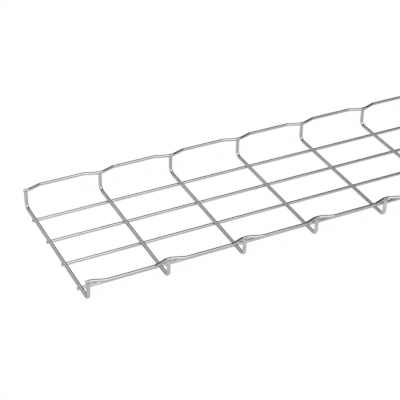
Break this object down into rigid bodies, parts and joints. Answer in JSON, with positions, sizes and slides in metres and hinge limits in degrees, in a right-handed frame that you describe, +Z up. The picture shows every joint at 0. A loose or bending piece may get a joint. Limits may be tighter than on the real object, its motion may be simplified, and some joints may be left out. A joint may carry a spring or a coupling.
{
  "type": "wire mesh cable basket",
  "caption": "Straight length of low-sided wire mesh cable basket: lengthwise wires, U-shaped cross wires and waved edge wires, welded into an open mesh.",
  "frame": {"origin": "on the floor under the middle of the tray, at the centre of the box's underside", "axes": "+X along the tray's length, +Y across it, +Z up out of the open top"},
  "size_m": [3.005, 0.2196, 0.0324],
  "materials": {
    "zinc_wire": "bright zinc-plated drawn steel wire, smooth and glossy"
  },
  "bodies": {
    "root": {"base_wire_1": "zinc_wire", "base_wire_2": "zinc_wire", "base_wire_3": "zinc_wire", "base_wire_4": "zinc_wire", "edge_wire_left": "zinc_wire", "edge_wire_right": "zinc_wire", "cross_wire_01": "zinc_wire", "cross_wire_02": "zinc_wire", "cross_wire_03": "zinc_wire", "cross_wire_04": "zinc_wire", "cross_wire_05": "zinc_wire", "cross_wire_06": "zinc_wire", "cross_wire_07": "zinc_wire", "cross_wire_08": "zinc_wire", "cross_wire_09": "zinc_wire", "cross_wire_10": "zinc_wire", "cross_wire_11": "zinc_wire", "cross_wire_12": "zinc_wire", "cross_wire_13": "zinc_wire", "cross_wire_14": "zinc_wire", "cross_wire_15": "zinc_wire", "cross_wire_16": "zinc_wire", "cross_wire_17": "zinc_wire", "cross_wire_18": "zinc_wire", "cross_wire_19": "zinc_wire", "cross_wire_20": "zinc_wire", "cross_wire_21": "zinc_wire", "cross_wire_22": "zinc_wire", "cross_wire_23": "zinc_wire", "cross_wire_24": "zinc_wire", "cross_wire_25": "zinc_wire", "cross_wire_26": "zinc_wire", "cross_wire_27": "zinc_wire", "cross_wire_28": "zinc_wire", "cross_wire_29": "zinc_wire", "cross_wire_30": "zinc_wire", "cross_wire_31": "zinc_wire"}
  },
  "joints": []
}
